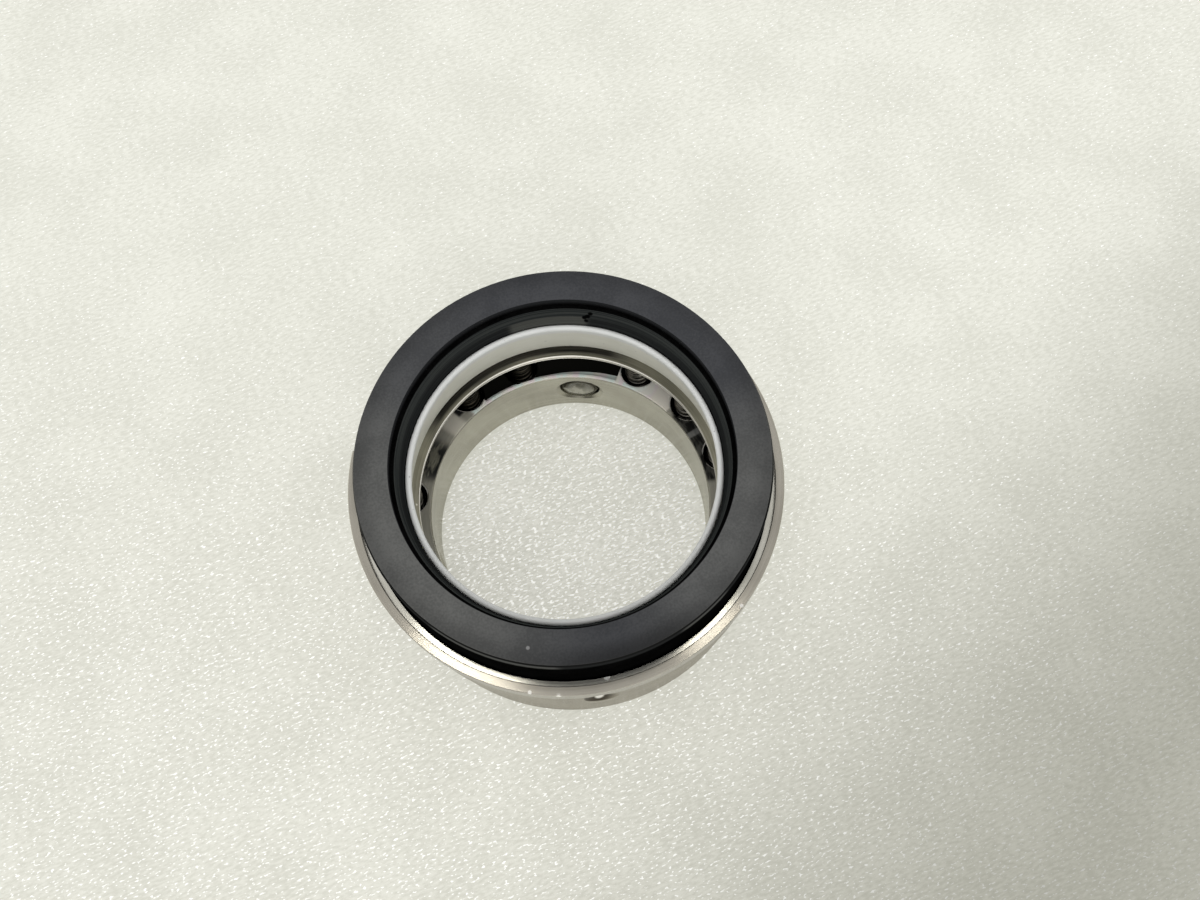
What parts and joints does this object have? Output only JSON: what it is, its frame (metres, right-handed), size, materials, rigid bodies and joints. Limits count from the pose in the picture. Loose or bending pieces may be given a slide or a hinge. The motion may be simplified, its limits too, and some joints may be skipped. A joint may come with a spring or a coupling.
{
  "type": "mechanical seal",
  "caption": "Component mechanical seal: a carbon ring, wedge ring and thrust disc float on small coil springs in a turned steel retainer.",
  "frame": {"origin": "centre of the retainer's back face, on the shaft's axis", "axes": "+Z along the shaft's axis towards the sealing face; the front drive dent is at -Y"},
  "size_m": [0.0584, 0.0584, 0.0305],
  "materials": {
    "turned_steel": "fine turned",
    "carbon": "matt carbon graphite with a lapped face",
    "white_polymer": "smooth white fluoropolymer",
    "disc_steel": "turned",
    "snap_steel": "stamped",
    "spring_steel": "drawn wire",
    "screw_steel": "plain"
  },
  "bodies": {
    "retainer": {"retainer": "turned_steel", "snap_ring": "snap_steel", "spring_01": "spring_steel", "spring_02": "spring_steel", "spring_03": "spring_steel", "spring_04": "spring_steel", "spring_05": "spring_steel", "spring_06": "spring_steel", "spring_07": "spring_steel", "spring_08": "spring_steel", "spring_09": "spring_steel", "spring_10": "spring_steel", "spring_11": "spring_steel", "spring_12": "spring_steel", "set_screw_1": "screw_steel", "set_screw_2": "screw_steel", "set_screw_3": "screw_steel"},
    "floating_head": {"primary_ring": "carbon", "wedge_ring": "white_polymer", "thrust_disc": "disc_steel"}
  },
  "joints": [
    {"name": "axial_float", "type": "slide", "parent": "retainer", "child": "floating_head", "axis": [0, 0, 1], "range_m": [-0.002, 0], "stiffness_N_per_m": 60000, "springref_m": 0.0005, "deforming": ["spring_01", "spring_02", "spring_03", "spring_04", "spring_05", "spring_06", "spring_07", "spring_08", "spring_09", "spring_10", "spring_11", "spring_12"]}
  ]
}
